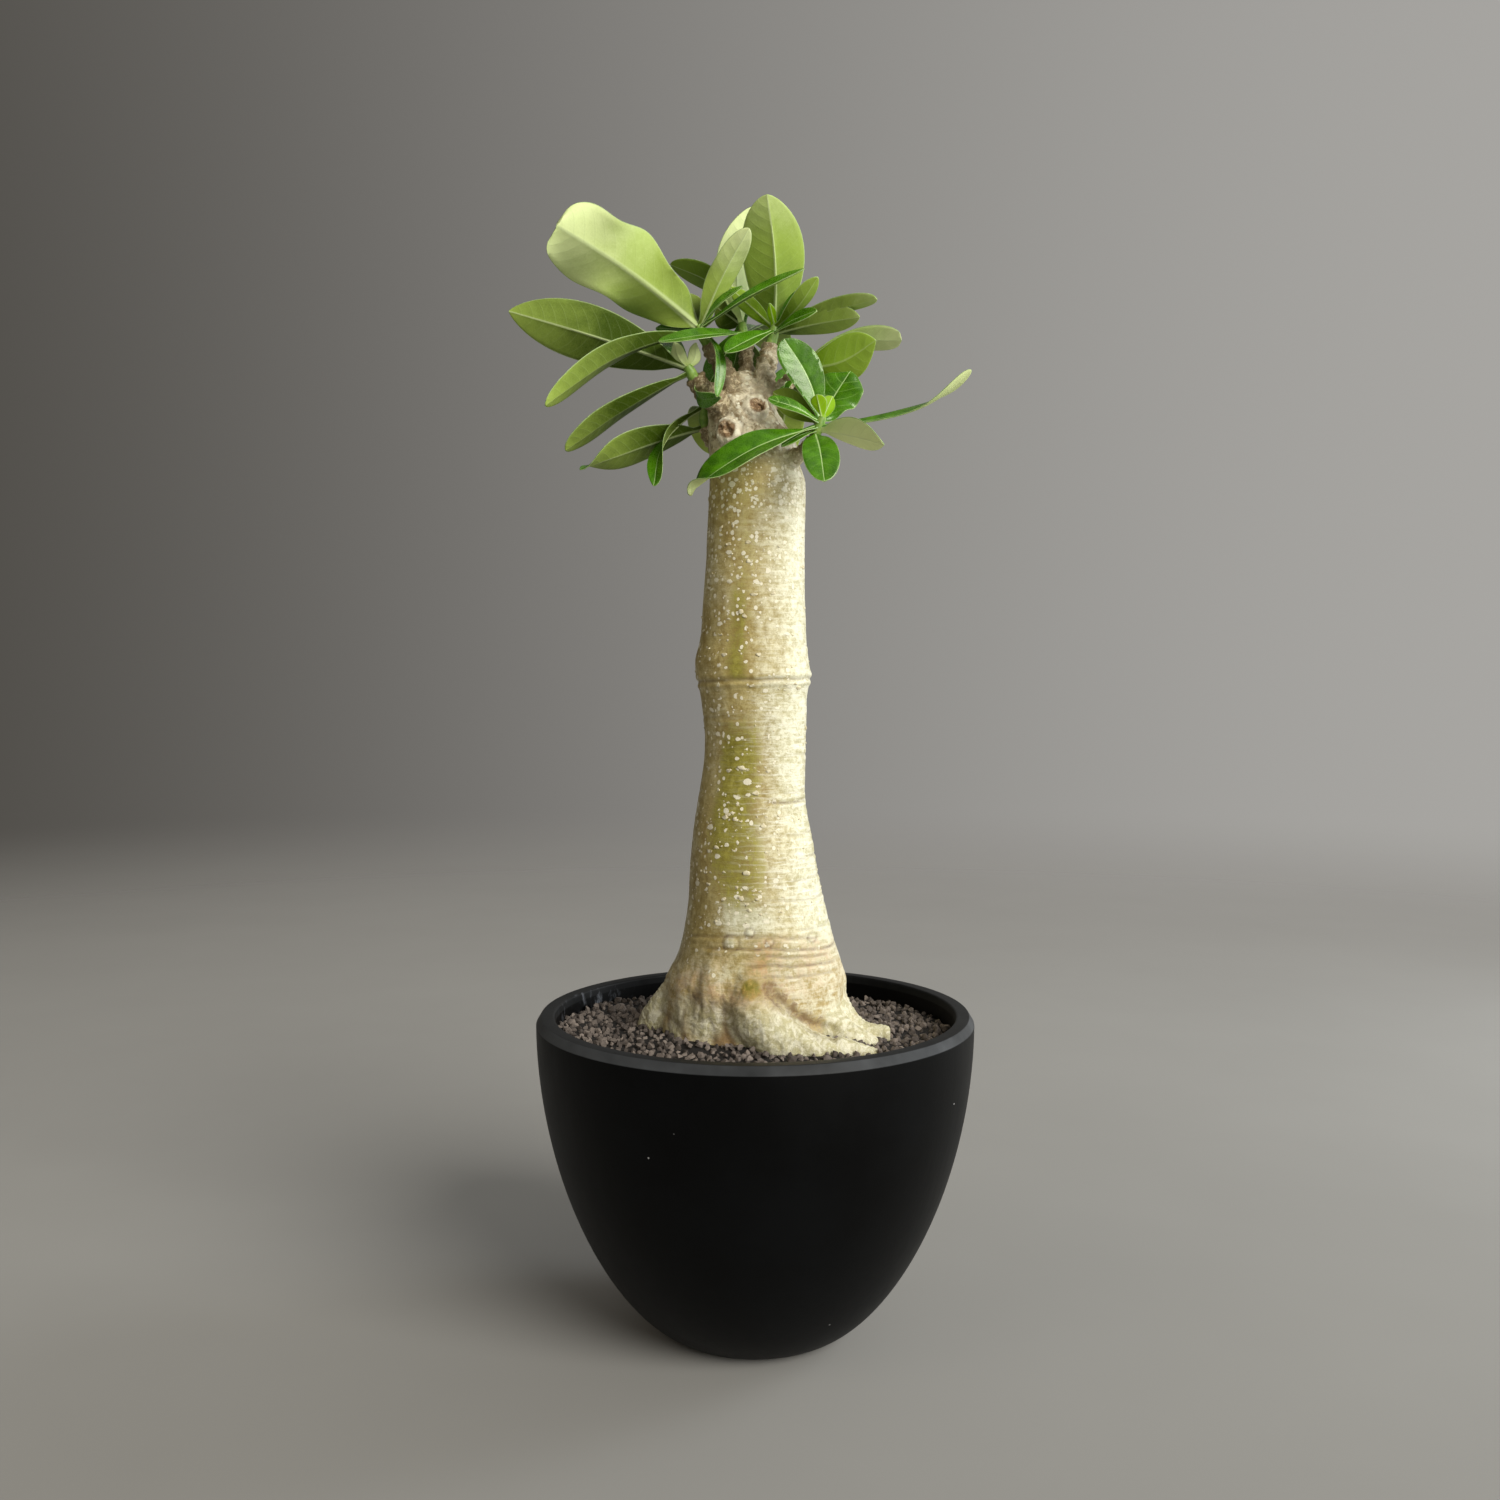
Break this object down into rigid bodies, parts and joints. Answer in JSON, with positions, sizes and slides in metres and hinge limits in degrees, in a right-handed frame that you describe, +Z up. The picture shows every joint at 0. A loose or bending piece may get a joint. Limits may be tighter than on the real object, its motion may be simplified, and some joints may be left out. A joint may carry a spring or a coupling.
{
  "type": "potted desert rose",
  "caption": "Young desert rose with a tall swollen trunk, surface roots and leafy shoots, standing in gravel in a round black half-egg pot.",
  "frame": {"origin": "centre of the pot's underside, on the surface it stands on", "axes": "+Z up along the trunk, the root arm on the -Y side, the long shoot to the right on the +X side"},
  "size_m": [0.1766, 0.17, 0.4346],
  "materials": {
    "pot": "satin black moulded plastic, slightly dusty at the rim",
    "gravel": "matt grey-brown grains of two to three millimetres",
    "bark": "smooth cream and olive skin with pale specks",
    "foliage": "glossy green above, paler and matt below"
  },
  "bodies": {
    "root": {"pot": "pot", "soil": "gravel", "trunk_and_roots": "bark", "leafy_shoot_front_right": "foliage", "leafy_shoot_centre_right": "foliage", "leafy_shoot_centre_left": "foliage", "leafy_shoot_left": "foliage", "leafy_shoot_centre_back": "foliage", "leafy_shoot_low_left": "foliage", "leafy_shoot_back_right": "foliage"}
  },
  "joints": []
}
